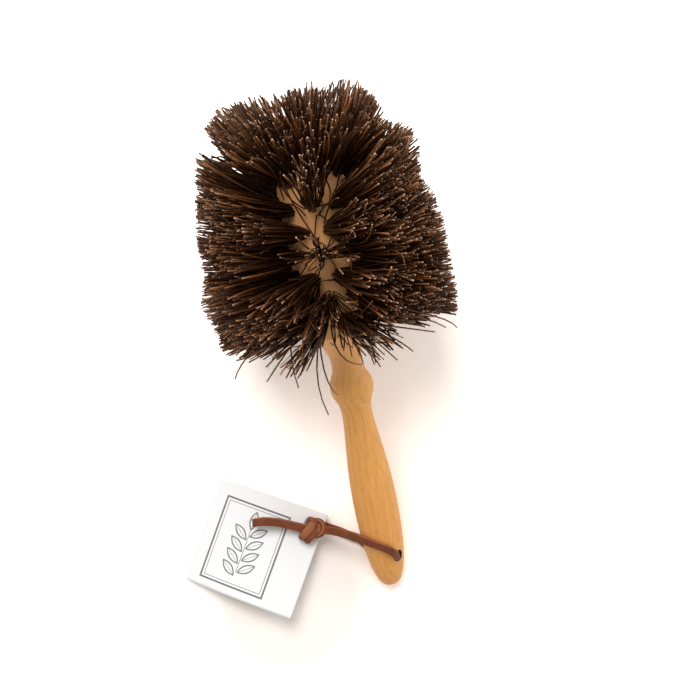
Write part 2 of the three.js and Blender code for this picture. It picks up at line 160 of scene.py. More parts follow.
# Tufts beside the parting on top, by ring and number: turn in degrees, shift towards the nose,
# how much wider they splay, and the shares of fibres that they have and that stray
PARTED = {
    (0, 0): (9, -1, 1.1, 0.8, 0.15), (0, 9): (-5, -2, 1.2, 0.8, 0.15),
    (1, 0): (4, -3, 1.3, 0.5, 0.35), (1, 1): (6, -2, 1, 1, 0.2), (1, 9): (-4, -2, 1, 1, 0.2),
    (2, 0): (17, -4, 1, 1, 0.2), (2, 9): (-7, -8, 1.1, 0.9, 0.2),
    (3, 0): (7, 4, 1.2, 0.5, 0.3), (3, 1): (10, 0, 1, 1, 0.2), (3, 9): (-12, 0, 1, 1, 0.2),
    (4, 0): (16, -3, 1, 1, 0.2), (4, 9): (-15, -3, 1, 1, 0.2),
    (5, 0): (3, 2, 0.75, 0.55, 0.4), (5, 1): (12, -6, 1, 1, 0.2), (5, 9): (-14, -9, 0.9, 1, 0.2),
}
UNPARTED = (0, 0, 1, 1, STRAY_SHARE)

# Single fibres by group, as a root, a place on the way and a tip on the table: long ones that stand
# out of the head, and short ones that cross the parting on top
STRAYS = {
    "rear": [
        ((-4.5, 137.5, 85), (-13.5, 113.5, 92), (-13, 91.5, 70)),
        ((-8.5, 135.5, 82), (-10.5, 112.5, 92), (-7, 99.5, 74)),
        ((-3.5, 131.5, 85), (-2, 117.5, 92), (6.5, 111, 78)),
        ((6.5, 132.5, 84), (30, 128.5, 100), (47, 120, 84)),
        ((16, 136.5, 92), (41, 126.5, 98), (52, 119, 82)),
        ((9.5, 130, 84), (26.5, 124, 96), (41.5, 119, 88)),
        ((-25.5, 137, 90), (-42.5, 125, 92), (-51, 116, 80)),
        ((3.5, 133, 82), (9, 121.5, 95), (12, 110, 92)),
        ((9, 131, 84), (22, 120.5, 96), (30, 112.5, 92)),
        ((-12, 192.5, 112), (-17.5, 204.5, 126), (-24.5, 205, 124)),
        ((5.5, 195.5, 112), (11, 205.5, 124), (11, 212.5, 122)),
        ((6, 130.5, 86), (11.5, 134, 104), (16.5, 137.5, 110)),
        ((22.5, 159, 108), (30.5, 156, 120), (33, 151, 116)),
        ((-17, 135.5, 86), (-23, 124, 96), (-23.5, 106.5, 84)),
        ((-27, 170, 90), (-39.5, 173.5, 100), (-49, 173, 96)),
        ((2, 151, 81.5), (-1.5, 151.5, 82.5), (-5, 151.5, 82)),
        ((2, 161, 86.5), (3, 158, 86), (4.5, 155, 82.5)),
        ((-8.5, 160, 84.5), (-11, 158, 82.5), (-14, 155, 75.5)),
        ((-2.5, 160, 85), (-3.5, 156.5, 85.5), (-5.5, 152.5, 82)),
        ((-4, 163.5, 88), (-7.5, 161, 87.5), (-11, 160, 83.5)),
    ],
    "middle": [
        ((0, 180.5, 92), (-1.5, 176, 92.5), (-2.5, 172, 90.5)),
        ((7, 171, 91), (8, 169.5, 89.5), (8.5, 167, 85.5)),
        ((5.5, 170.5, 90), (3.5, 168, 91), (1, 164.5, 87)),
        ((-6, 175, 94), (-4, 172.5, 92.5), (-1.5, 168.5, 88.5)),
    ],
    "front": [
        ((-14, 198, 96.5), (-13.5, 194, 94.5), (-13, 190, 91)),
        ((-12, 198, 101), (-8.5, 185, 96.5), (-2, 169.5, 89.5)),
        ((-12, 188, 90.5), (-8, 185.5, 95), (-5, 181, 92.5)),
        ((7, 194.5, 101), (8, 189.5, 98.5), (7, 186.5, 95)),
        ((2, 184, 94), (4.5, 184, 96), (8.5, 184.5, 95.5)),
        ((1, 180.5, 92), (4, 183, 95.5), (8.5, 185.5, 97.5)),
        ((0.5, 180.5, 92), (2, 179.5, 93.5), (4, 177, 92)),
        ((13.5, 195.5, 98.5), (11.5, 191.5, 97), (9.5, 187.5, 93.5)),
        ((9, 197, 103.5), (5.5, 191, 100.5), (2.5, 185, 94.5)),
    ],
}

# How far the trimmed head stands out or back at its rim, by degrees clockwise from the nose
HEAD_MIDDLE = (1.8, 173)
OUTLINE_REACH = 58
OUTLINE_FADE = 4
OUTLINE = {
    -179: 0, -169: -4.5, -159: 0, -149: -3, -139: -6.5, -129: -2.5, -119: 0, -109: 4.5, -99: 0, -59: 0,
    -47: 2, -43: -11, -38: 3.5, -29: 4, -19: 0, -9: -2.5, 1: 0, 11: 0, 21: 4, 31: 0, 41: -6, 51: 0,
    61: 0, 71: -5, 81: -2.5, 91: 0, 121: 0, 131: -1.5, 141: -6, 151: -9, 161: 1.5, 171: 0,
}

# Leather thong
THONG_WIDTH = 4.1
THONG_THICKNESS = 2.3
THONG_STEP = 0.5
SECTION_POINTS = 24
SECTION_SQUARENESS = 4.5
EDGE_START = 0.8
GAP = 0.3
LEVEL = (0.43, 0.9, 0)
TAIL_LEVEL = (0.32, 0.95, 0)
LOWER_END_WAY = (0.6, 0.8, 0)

# Routes of the thong. Places by the hole are out from its rim, aside from it round the grip and
# along the grip, and the others are on the table. A way is how the width of the lace lies.
ASIDE_IN_HOLE = -0.4
UPPER_BY_HOLE = [(-0.9, 0.7, 0.3), (-0.15, 0.9, 0.5), (0.8, 1.6, 1.2), (1.2, 3, 2.7), (1, 5.2, 5.8)]
UPPER_ROUTE = [(-2, 21.9, 24.6), (-6.3, 24.4, 24), (-9.8, 26.4, 22.1), (-13.5, 28.3, 19.3),
               (-17.9, 30.2, 16.6), (-22, 31.9, 14.2), (-26.3, 33.2, 12.2), (-30, 33.8, 11),
               (-33.4, 34.4, 10.6)]
UPPER_WAYS = [(0.45, 0.82, 0.35), (0.39, 0.79, 0.47), (0.4, 0.84, 0.36), (0.43, 0.88, 0.2)] + [LEVEL] * 5
LOWER_ROUTE = [(-8.9, 21.6, 2.1), (-11.2, 24.1, 1.5), (-15.4, 26.8, 1.3), (-20.2, 30.2, 1.3),
               (-25.2, 33.1, 1.4), (-29.4, 35.6, 2), (-32.6, 37.5, 3.9), (-34, 39, 6),
               (-34.2, 38.8, 8.4), (-33.6, 36.6, 10.2)]
LOWER_WAYS = [LEVEL] * 4 + [LOWER_END_WAY] * 7
UPPER_TAIL = [(-31.4, 33.6, 11.6), (-38.4, 36.7, 11.4), (-44.4, 39.5, 11.6), (-50.4, 42, 11.9),
              (-56.4, 43.6, 12.2), (-61.8, 44.1, 12.5)]
LOWER_TAIL = [(-31.4, 33.6, 9.2), (-38.4, 36.7, 8.9), (-44.4, 39.5, 9.1), (-50.4, 42, 9.4),
              (-56.4, 43.6, 9.7), (-61.2, 43.9, 10)]

# Knot: loops of the lace, each with its heading, the rise of its other axis, two half widths, a shift
# and the strength of a highlight painted on its top
KNOT_PLACE = (-33.4, 34.4, 10.5)
KNOT_STEPS = 72
KNOT_SQUARENESS = 2.5
KNOT_NARROW = 0.22
KNOT_LOOPS = [
    (38.6, 90, 5.3, 3.9, (-2, 0.8, 0), 0.95),
    (43, 90, 4.7, 3.2, (-0.3, -1.5, -0.7), 0.3),
    (38.6, -20, 3.9, 4, (2.2, 0.7, -0.6), 0.1),
    (38.6, -20, 2.1, 2.2, (1.9, 0.6, 0.4), 0.3),
]

# Card tag
TAG_WIDTH = 56
TAG_HEIGHT = 54
TAG_LEAF = 0.35
TAG_LEAF_GAP = 0.4
TAG_HOLE_DIAMETER = 6.4
TAG_HOLE_EDGE = 6.5
TAG_HEADING = math.radians(149.1)
TAG_TILT = math.radians(4.5)
TAG_PLACE = (-33.7, 37.5)
TAG_STEPS = 48
FOLD_STEPS = 8
TAG_ARCH = 2.5
TAG_LIFT = 6.5
TAG_ARCH_TOP = 0.4
TAG_SPRING = 1.2
TAG_SPRING_CURVE = 1.5

# Print on the tag, from its hole: a double frame round a sprig
PRINT_INK = (0.06, 0.06, 0.075, 1)
PRINT_STRENGTH = 0.85
PRINT_MIDDLE = (27, 22)
PRINT_FRAMES = [((16.5, 21), 0.9), ((14.9, 19.4), 0.3)]
SPRIG_STEM = (0.16, 13.5)
SPRIG_PAIRS = 4
SPRIG_PITCH = 6.2
SPRIG_LEAF = (4.6, 1.8)
SPRIG_LEAF_OUT = 4.4
SPRIG_LEAF_TURN = 38
SPRIG_STAGGER = 1
SPRIG_LINE = 0.34
SPRIG_RIB = SPRIG_LINE / 3

# Materials. A noise has its scale per metre along X, Y and Z, its detail and its roughness, a tint
# has levels by the value of a pattern and a colour, and a finish has its specular level and the
# strength and depth of its relief.
NOISE_ROUGHNESS = 0.55

BEECH_BROAD = ((45, 8, 45), 2)
BEECH_FINE = ((1500, 28, 1500), 4)
BEECH_SPECKLE = ((950, 130, 950), 2, 0.5)
BEECH_WAVE = {"Scale": 95, "Distortion": 5, "Detail": 2, "Detail Scale": 0.25}
BEECH_WAVE_TURN = math.radians(35)
BEECH_TONES = [(0.3, (0.76, 0.34, 0.078)), (0.7, (0.88, 0.425, 0.112))]
BEECH_BANDS = ([(0.45, 0), (1, 0.22)], (0.58, 0.235, 0.048, 1))
BEECH_STREAKS = ([(0.42, 0.28), (0.62, 0)], (0.54, 0.215, 0.045, 1))
BEECH_FLECKS = ([(0.6, 0), (0.72, 0.32)], (0.42, 0.15, 0.03, 1))
# Painted light: a paler wood colour mixed in from the bead to the first ring, against the shade that the
# tufts cast on the core
BEECH_PAINTED_LIGHT = (0.95, 0.47, 0.2, 1)
BEECH_PAINTED_LIGHT_SHARE = 0.7
BEECH_ROUGHNESS = [(0.3, 0.58), (0.7, 0.44)]
BEECH_FINISH = (0.4, 0.12, 0.15)
# Painted shade: the dark colour of the inside of the hang hole
BORE_PAINTED_SHADE = (0.06, 0.017, 0.007, 1)
BORE_ROUGHNESS = 0.8

FIBRE_MOTTLE = ((900, 900, 900), 3)
# Ramps along a fibre for dark and pale tones: the darkening towards the root is painted shade deep in
# the tufts, and the brightest cut ends of the pale fibres are partly a painted highlight
FIBRE_DARK_ROOT_SHADED = [(0.1, (0.002, 0.0008, 0.0005)), (0.4, (0.006, 0.0018, 0.0007)),
              (0.72, (0.018, 0.0045, 0.0014)), (0.82, (0.03, 0.009, 0.0028)), (0.9, (0.05, 0.02, 0.01))]
FIBRE_PALE_SHADED_AND_LIT = [(0.1, (0.01, 0.0032, 0.0012)), (0.4, (0.11, 0.031, 0.0085)),
              (0.72, (0.38, 0.145, 0.05)), (0.82, (0.62, 0.29, 0.14)), (0.9, (0.8, 0.54, 0.38))]
FIBRE_STAINS = ([(0.35, 0.45), (0.6, 0)], (0.01, 0.0035, 0.0018, 1))
FIBRE_ROUGHNESS = [(0.3, 0.3), (0.7, 0.5)]
FIBRE_FINISH = (0.36, 0.2, 0.1)
FIBRE_SHEEN = (1, 0.56, 0.36, 1)

LEATHER_BROAD = ((160, 160, 160), 3)
LEATHER_GRAIN = ((2200, 2200, 2200), 3)
LEATHER_TONES = [(0.3, (0.14, 0.037, 0.014)), (0.7, (0.21, 0.06, 0.024))]
# Paler colour of the cut edges, and of the highlight painted on top of the knot's loops
LEATHER_EDGE_AND_HIGHLIGHT = (0.36, 0.13, 0.056, 1)
LEATHER_PORES = ([(0.38, 0.35), (0.55, 0)], (0.08, 0.02, 0.008, 1))
LEATHER_ROUGHNESS = [(0.3, 0.72), (0.7, 0.55)]
LEATHER_FINISH = (0.2, 0.35, 0.2)

CARD_PULP = ((1400, 1400, 1400), 3)
CARD_TONES = [(0.3, (0.9, 0.9, 0.9)), (0.7, (0.94, 0.94, 0.935))]
CARD_ROUGHNESS = 0.8
CARD_FINISH = (0.25, 0.1, 0.05)

# Camera
CAMERA_HEIGHT = 800
CAMERA_PLACE = (2.61, 118.59)
CAMERA_ROLL = math.radians(-11.417)
CAMERA_VIEW = 352.5
SENSOR_WIDTH = 36

# Light: lamps with a place, a size and a power. The floor is painted less bright round a place by the
# tag, a painted shade that deepens the tag's shadow, and goes over into the brighter floor round the
# head between two distances.
LAMPS = {"key": ((-150, 800, 1250), 900, 17), "side": ((900, 150, 400), 600, 2.5)}
FILL_LEVEL = 0.48
FILL_COLOUR = (1, 0.985, 0.965, 1)
FLOOR_SIZE = 6000
FLOOR_BY_HEAD = (1.66, 1.54, 1.44, 1)
FLOOR_PAINTED_SHADE_BY_TAG = (1.06, 0.98, 0.925, 1)
FLOOR_FADE = (32, 58)
FLOOR_FADE_PLACE = (-52, 2, 0)
FLOOR_BOUNCE = (0.9, 0.89, 0.87, 1)

# Places that follow from the sizes
WAIST_AT = GRIP_LENGTH
BEAD_AT = WAIST_AT + WAIST_TO_BEAD
NECK_AT = BEAD_AT + BEAD_TO_NECK
CORE_AT = NECK_AT + NECK_TO_CORE
CORE_RADIUS = CORE_DIAMETER / 2
FIRST_RING = CORE_AT + RING_MARGIN
NOSE_AT = FIRST_RING + (RING_COUNT - 0.5) * RING_PITCH
NOSE_END = NOSE_AT + NOSE_LENGTH
FRONT_REACH = NOSE_END + NOSE_BRISTLE - FIRST_RING
GOLDEN_TURN = math.pi * (3 - math.sqrt(5))

# The table's origin in the shared frame, from the place of the tag's hole in both
swivel = np.array(frame["joints"][0]["pos_m"]) / MM
table_origin = np.array([swivel[0] - TAG_PLACE[0], swivel[1] - TAG_PLACE[1], 0])
lifted = Matrix.Translation(Vector(table_origin + [0, 0, LIFT]) * MM)
brush_matrix = lifted @ Matrix.Rotation(TILT, 4, "X")


def on_table(points):
    """Points of the brush's frame in the table's frame."""
    points = np.asarray(points, float)
    x, y, z = points[..., 0], points[..., 1], points[..., 2]
    c, s = math.cos(TILT), math.sin(TILT)
    return np.stack([x, y * c - z * s, y * s + z * c + LIFT], axis=-1)


def unit(vectors):
    return vectors / np.linalg.norm(vectors, axis=-1, keepdims=True)


def around(angle, along, radius):
    """A point of the brush from its angle round the axis, distance along it and radius."""
    angle, along, radius = np.broadcast_arrays(angle, along, radius)
    return np.stack([radius * np.sin(angle), along, radius * np.cos(angle)], axis=-1)


def piece(name, points, faces, materials, matrix=None):
    """A smooth object from points in millimetres."""
    mesh = bpy.data.meshes.new(name)
    mesh.from_pydata((np.asarray(points, float) * MM).tolist(), [], faces)
    mesh.polygons.foreach_set("use_smooth", [True] * len(mesh.polygons))
    for material in materials:
        mesh.materials.append(material)
    made = bpy.data.objects.new(name, mesh)
    bpy.context.scene.collection.objects.link(made)
    if matrix is not None:
        made.matrix_world = matrix
    return made


def tube_faces(rings, sides):
    """Faces between rings of points, with a cap at each end."""
    faces = []
    for i in range(rings - 1):
        for k in range(sides):
            following = (k + 1) % sides
            a, b = i * sides, (i + 1) * sides
            faces.append((a + k, a + following, b + following, b + k))
    faces.append(tuple(range(sides))[::-1])
    faces.append(tuple(range((rings - 1) * sides, rings * sides)))
    return faces


def cut(made, cutter):
    """Cuts one object's mesh by another, which is then removed."""
    modifier = made.modifiers.new("cut", "BOOLEAN")
    modifier.operation = "DIFFERENCE"
    modifier.solver = "EXACT"
    modifier.material_mode = "TRANSFER"
    modifier.object = cutter
    bpy.context.view_layer.update()
    seen = made.evaluated_get(bpy.context.evaluated_depsgraph_get())
    mesh = bpy.data.meshes.new_from_object(seen)
    made.modifiers.clear()
    made.data = mesh
    bpy.data.objects.remove(cutter)


# Node helpers

def new_material(name):
    material = bpy.data.materials.new(name)
    material.use_nodes = True
    tree = material.node_tree
    return material, tree, tree.nodes["Principled BSDF"]


def give(tree, made, inputs):
    """Links or sets inputs of a node."""
    for key, value in inputs.items():
        if isinstance(value, bpy.types.NodeSocket):
            tree.links.new(value, made.inputs[key])
        else:
            made.inputs[key].default_value = value


def node(tree, kind, inputs=None, **settings):
    """A new node with its settings and inputs."""
    made = tree.nodes.new(kind)
    for key, value in settings.items():
        setattr(made, key, value)
    give(tree, made, inputs or {})
    return made


def math_node(tree, operation, *values):
    return node(tree, "ShaderNodeMath", dict(enumerate(values)), operation=operation).outputs[0]


def ramp(tree, factor, stops):
    """A colour ramp from (place, colour) pairs."""
    made = node(tree, "ShaderNodeValToRGB", {"Fac": factor})
    elements = made.color_ramp.elements
    while len(elements) < len(stops):
        elements.new(0.5)
    for element, (place, colour) in zip(elements, stops, strict=True):
        element.position = place
        element.color = colour if len(colour) == 4 else (*colour, 1)
    return made.outputs["Color"]


def levels(tree, factor, stops):
    """A grey ramp from (place, level) pairs."""
    return ramp(tree, factor, [(place, (level, level, level)) for place, level in stops])


def mix(tree, factor, a, b):
    """A mix of two colours, each a socket or a colour."""
    made = node(tree, "ShaderNodeMix", data_type="RGBA", blend_type="MIX")
    give(tree, made, {0: factor, 6: a, 7: b})
    return made.outputs[2]


def tinted(tree, under, pattern, stops, colour):
    """A colour laid over another, as strong as the levels of a pattern."""
    return mix(tree, levels(tree, pattern, stops), under, colour)


def noise(tree, vector, scale, detail, roughness=NOISE_ROUGHNESS):
    """Noise of a scale per metre along X, Y and Z."""
    scaled = node(tree, "ShaderNodeVectorMath", {0: vector, 1: scale}, operation="MULTIPLY")
    inputs = {"Vector": scaled.outputs[0], "Scale": 1, "Detail": detail, "Roughness": roughness}
    return node(tree, "ShaderNodeTexNoise", inputs).outputs["Fac"]


def surface(tree, shader, colour, roughness, relief, finish):
    """Gives a shader its colour, its gloss and the fine relief of a pattern."""
    specular, strength, depth = finish
    made = node(tree, "ShaderNodeBump", {"Height": relief, "Strength": strength, "Distance": depth * MM})
    give(tree, shader, {
        "Base Color": colour, "Roughness": roughness, "Specular IOR Level": specular,
        "Normal": made.outputs[0],
    })


# Materials

def beech():
    """Oiled beech: warm tan, faint growth bands, fine pores and darker flecks, painted paler towards the
    core as painted light against the shade of the tufts.
    """
    material, tree, shader = new_material("oiled_beech")
    lying = node(tree, "ShaderNodeTexCoord").outputs["Object"]
    at = node(tree, "ShaderNodeMapping", {
        "Vector": lying, "Location": brush_matrix.translation, "Rotation": (TILT, 0, 0),
    }, vector_type="TEXTURE").outputs[0]
    turned = node(tree, "ShaderNodeMapping", {"Vector": at, "Rotation": (0, BEECH_WAVE_TURN, 0)})
    wave = node(tree, "ShaderNodeTexWave", {"Vector": turned.outputs[0], **BEECH_WAVE},
                wave_type="BANDS", bands_direction="X", wave_profile="SIN")
    fine = noise(tree, at, *BEECH_FINE)
    base = ramp(tree, noise(tree, at, *BEECH_BROAD), BEECH_TONES)
    banded = tinted(tree, base, wave.outputs["Fac"], *BEECH_BANDS)
    streaked = tinted(tree, banded, fine, *BEECH_STREAKS)
    flecked = tinted(tree, streaked, noise(tree, at, *BEECH_SPECKLE), *BEECH_FLECKS)
    # Painted light: paler from the bead towards the tufts, against the shade they cast
    lighter_towards_core = node(tree, "ShaderNodeMapRange", {
        "Value": node(tree, "ShaderNodeSeparateXYZ", {0: at}).outputs[1],
        "From Min": BEAD_AT * MM, "From Max": FIRST_RING * MM, "To Max": BEECH_PAINTED_LIGHT_SHARE,
    })
    painted_light_by_core = mix(tree, lighter_towards_core.outputs[0], flecked, BEECH_PAINTED_LIGHT)
    surface(tree, shader, painted_light_by_core, levels(tree, fine, BEECH_ROUGHNESS), fine, BEECH_FINISH)
    return material


def bore():
    """The inside of the hang hole, painted dark brown as the shade inside the bore."""
    material, tree, shader = new_material("bore_painted_shade")
    give(tree, shader, {"Base Color": BORE_PAINTED_SHADE, "Roughness": BORE_ROUGHNESS})
    return material


def plant_fibre():
    """Stiff fibre: red-brown along its length and tan where it is cut, painted nearly black towards the
    root as painted shade deep in the tufts, and with the cut ends of the pale fibres painted brighter as
    a highlight besides their tan.
    """
    material, tree, shader = new_material("plant_fibre")
    along = node(tree, "ShaderNodeAttribute", attribute_name="along").outputs["Fac"]
    tone = node(tree, "ShaderNodeAttribute", attribute_name="tone").outputs["Fac"]
    at = node(tree, "ShaderNodeTexCoord").outputs["Object"]
    share = math_node(tree, "DIVIDE", along, CUT_MARK)
    # Painted shade towards the root and a painted highlight on the pale cut ends come from these ramps
    toned = mix(tree, tone, ramp(tree, share, FIBRE_DARK_ROOT_SHADED), ramp(tree, share, FIBRE_PALE_SHADED_AND_LIT))
    mottle = noise(tree, at, *FIBRE_MOTTLE)
    stained = tinted(tree, toned, mottle, *FIBRE_STAINS)
    surface(tree, shader, stained, levels(tree, mottle, FIBRE_ROUGHNESS), mottle, FIBRE_FINISH)
    give(tree, shader, {"Specular Tint": FIBRE_SHEEN})
    return material


def leather():
    """Waxed thong leather, with paler cut edges, and a highlight painted paler on top of the knot's
    loops.
    """
    material, tree, shader = new_material("thong_leather")
    edge = node(tree, "ShaderNodeAttribute", attribute_name="edge").outputs["Fac"]
    at = node(tree, "ShaderNodeTexCoord").outputs["Object"]
    grain = noise(tree, at, *LEATHER_GRAIN)
    base = ramp(tree, noise(tree, at, *LEATHER_BROAD), LEATHER_TONES)
    edged_and_highlighted = mix(tree, edge, base, LEATHER_EDGE_AND_HIGHLIGHT)
    grained = tinted(tree, edged_and_highlighted, grain, *LEATHER_PORES)
    surface(tree, shader, grained, levels(tree, grain, LEATHER_ROUGHNESS), grain, LEATHER_FINISH)
    return material


def card(name, printed):
    """Uncoated white card, bare or with a print."""
    material, tree, shader = new_material(name)
    at = node(tree, "ShaderNodeTexCoord").outputs["Object"]
    pulp = noise(tree, at, *CARD_PULP)
    colour = ramp(tree, pulp, CARD_TONES)
    if printed:
        ink = math_node(tree, "MULTIPLY", print_lines(tree, at), PRINT_STRENGTH)
        colour = mix(tree, ink, colour, PRINT_INK)
    surface(tree, shader, colour, CARD_ROUGHNESS, pulp, CARD_FINISH)
    return material


def measured(tree, at, place, turn=0, size=(1, 1)):
    """How far along and across a figure a point is, where its half sizes count as 1."""
    mapped = node(tree, "ShaderNodeMapping", {
        "Vector": at, "Location": (place[0] * MM, place[1] * MM, 0),
        "Rotation": (0, 0, math.radians(turn)), "Scale": (size[0] * MM, size[1] * MM, 1),
    }, vector_type="TEXTURE")
    parts = node(tree, "ShaderNodeSeparateXYZ", {0: mapped.outputs[0]})
    return parts.outputs[0], math_node(tree, "ABSOLUTE", parts.outputs[1])


def bar(tree, at, place, turn, size):
    """A filled bar of two half sizes."""
    along, across = measured(tree, at, place, turn, size)
    beyond = math_node(tree, "MAXIMUM", math_node(tree, "ABSOLUTE", along), across)
    return math_node(tree, "LESS_THAN", beyond, 1)


def frame_line(tree, at, size, line):
    """A frame of two half sizes, drawn as a line of some width."""
    along, across = measured(tree, at, PRINT_MIDDLE)
    beyond = math_node(tree, "SUBTRACT", math_node(tree, "ABSOLUTE", along), size[0])
    above = math_node(tree, "SUBTRACT", across, size[1])
    away = math_node(tree, "ABSOLUTE", math_node(tree, "MAXIMUM", beyond, above))
    return math_node(tree, "LESS_THAN", away, line / 2)


def leaf(tree, at, place, turn):
    """Outline and middle line of a pointed leaf."""
    along, across = measured(tree, at, place, turn, SPRIG_LEAF)
    width = math_node(tree, "SUBTRACT", 1, math_node(tree, "MULTIPLY", along, along))
    away = math_node(tree, "ABSOLUTE", math_node(tree, "SUBTRACT", across, width))
    outline = math_node(tree, "LESS_THAN", away, SPRIG_LINE / SPRIG_LEAF[1])
    rib = bar(tree, at, place, turn, (SPRIG_LEAF[0], SPRIG_RIB))
    return math_node(tree, "MAXIMUM", outline, rib)


def print_lines(tree, at):
    """1 on the lines of the frames and of the sprig, with a leaf at its top and pairs below."""
    x, y = PRINT_MIDDLE
    lines = [frame_line(tree, at, size, line) for size, line in PRINT_FRAMES]
    lines.append(bar(tree, at, PRINT_MIDDLE, 0, SPRIG_STEM))
    top = y - SPRIG_STEM[1]
    lines.append(leaf(tree, at, (x, top), 90))
    for pair in range(SPRIG_PAIRS):
        for side in (-1, 1):
            down = (pair + 1) * SPRIG_PITCH + side * SPRIG_STAGGER
            place = (x + side * SPRIG_LEAF_OUT, top + down)
            lines.append(leaf(tree, at, place, -side * SPRIG_LEAF_TURN))
    ink = lines[0]
    for line in lines[1:]:
        ink = math_node(tree, "MAXIMUM", ink, line)
    return ink


# Turned body

def bezier(a, b, c, d):
    """Points of a cubic curve, without its first."""
    t = np.linspace(0, 1, CURVE_STEPS + 1)[1:, None]
    a, b, c, d = (np.array(p, float) for p in (a, b, c, d))
    return (1 - t) ** 3 * a + 3 * t * (1 - t) ** 2 * b + 3 * t ** 2 * (1 - t) * c + t ** 3 * d


def swell(start, end, leave, arrive):
    """A curve of radius and distance that starts and ends along the axis."""
    length = end[1] - start[1]
    return bezier(start, (start[0], start[1] + leave * length), (end[0], end[1] - arrive * length), end)


def body_profile():
    """Radius and distance along the axis, from the end of the grip to the nose of the core."""
    grip = (GRIP_DIAMETER / 2, GRIP_WIDEST_AT)
    waist = (WAIST_DIAMETER / 2, WAIST_AT)
    bead = (BEAD_DIAMETER / 2, BEAD_AT)
    neck = (NECK_DIAMETER / 2, NECK_AT)
    shoulder = (CORE_RADIUS, CORE_AT)
    turn_out = (FLARE_START_DIAMETER / 2, CORE_AT - FLARE_ARRIVE * NECK_TO_CORE)
    core_at = np.linspace(CORE_AT, NOSE_AT, CORE_STEPS + 1)[1:]
    dome = np.linspace(0, math.pi / 2, CURVE_STEPS + 1)[1:-1]
    return np.concatenate([
        bezier((GRIP_END_FLAT / 2, GRIP_END_AT), (GRIP_END_BLUNT / 2, GRIP_END_AT),
               (grip[0], GRIP_END_ROUND), grip),
        swell(grip, waist, GRIP_CREST_EASE, GRIP_HOLLOW_EASE),
        swell(waist, bead, HOLLOW_EASE, CREST_EASE),
        swell(bead, neck, CREST_EASE, HOLLOW_EASE),
        bezier(neck, (neck[0], NECK_AT + FLARE_LEAVE * NECK_TO_CORE), turn_out, shoulder),
        np.stack([np.full(CORE_STEPS, CORE_RADIUS), core_at], 1),
        np.stack([CORE_RADIUS * np.cos(dome), NOSE_AT + NOSE_LENGTH * np.sin(dome)], 1),
    ])


def lathe(profile, start, end, sides=TURNED_SIDES):
    """Points and faces of a turned form that closes at two places on its axis."""
    turn = 2 * np.pi * np.arange(sides) / sides
    points = around(turn[None, :], profile[:, 1:], profile[:, :1]).reshape(-1, 3)
    faces = tube_faces(len(profile), sides)[:-2]
    first, last = len(points), len(points) + 1
    top = (len(profile) - 1) * sides
    for k in range(sides):
        following = (k + 1) % sides
        faces.append((first, following, k))
        faces.append((last, top + k, top + following))
    return np.concatenate([points, [(0, start, 0), (0, end, 0)]]), faces


def hole_cutter():
    """A bore across the grip with a small lip at each mouth."""
    reach = GRIP_DIAMETER
    mouth = body_radius(HOLE_AT)
    radius = HOLE_DIAMETER / 2
    half = [(radius, mouth - HOLE_LIP), (radius + HOLE_LIP_AT_MOUTH * HOLE_LIP, mouth),
            (radius + HOLE_LIP, mouth + HOLE_LIP), (radius + HOLE_LIP, reach)]
    profile = np.array([(r, -along) for r, along in half[::-1]] + half)
    points, faces = lathe(profile, -reach, reach, HOLE_SIDES)
    turn = Matrix.Translation(Vector((0, HOLE_AT, 0)) * MM) @ Matrix.Rotation(HOLE_ROLL, 4, "Y")
    return piece("hole_cutter", points, faces, [bore()], turn @ Matrix.Rotation(math.pi / 2, 4, "X"))


body_line = body_profile()


def body_radius(along):
    return np.interp(along, body_line[:, 1], body_line[:, 0])


def turned_body(material):
    points, faces = lathe(body_line, GRIP_END_AT, NOSE_END)
    made = piece("turned_body_wood", points, faces, [material])
    cut(made, hole_cutter())
    made.data.transform(brush_matrix)
    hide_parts("turned_body")
    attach(made, "brush")


# Fibres

def head_radius(along):
    """Radius of the trimmed head at a distance along the axis."""
    reach = np.where(along < FIRST_RING, REAR_REACH, FRONT_REACH)
    share = np.clip(np.abs(along - FIRST_RING) / reach, 0, 1)
    return HEAD_DIAMETER / 2 * (1 - share ** HEAD_FULLNESS) ** (1 / HEAD_FULLNESS)


def lean(ring, angle):
    """How far a ring's tips lie behind their place: upper tufts stand straighter."""
    upper = (1 + math.cos(angle)) / 2
    return REAR_LEAN - (REAR_LEAN - TOP_LEAN) * upper * TOP_FADE ** ring


def in_disc(rng, count):
    """Even places in a disc of radius 1, as two rows."""
    number = np.arange(count)
    share = np.sqrt((number + 0.5) / count)
    turn = GOLDEN_TURN * number + rng.uniform(0, 2 * np.pi)
    return share * np.cos(turn), share * np.sin(turn)


def scatter(rng, count, stray_share=STRAY_SHARE):
    """How far each fibre of a tuft strays, and which of them are strays."""
    stray = rng.random(count) < stray_share
    amount = np.where(stray, STRAY_SCATTER, TIP_SCATTER)
    return stray, amount * rng.normal(size=count), amount * rng.normal(size=count)


def lines_of(rng, roots, outward, tips, stray):
    """Centre lines of fibres as rows of points, trimmed at the tip and bowed a little."""
    count = len(roots)
    trim = HEAD_TRIM + TUFT_TRIM * rng.random() + rng.exponential(TIP_UNEVEN, count)
    tips = tips - trim[:, None] * unit(tips - roots)
    length = np.linalg.norm(tips - roots, axis=1, keepdims=True)
    straight_out = roots + length / 2 * outward
    bends = (1 - ROOT_BOW) * (roots + tips) / 2 + ROOT_BOW * straight_out
    bow = 2 * np.where(stray, STRAY_BOW, FIBRE_BOW)[:, None] * length
    bends = bends + bow * np.clip(rng.normal(size=roots.shape), -BOW_LIMIT, BOW_LIMIT)
    moved = outline_shift(on_table(tips))
    bends = above_table(on_table(bends) + moved / 2)
    return clear_of_wood(curves(on_table(roots), bends, above_table(on_table(tips) + moved)))


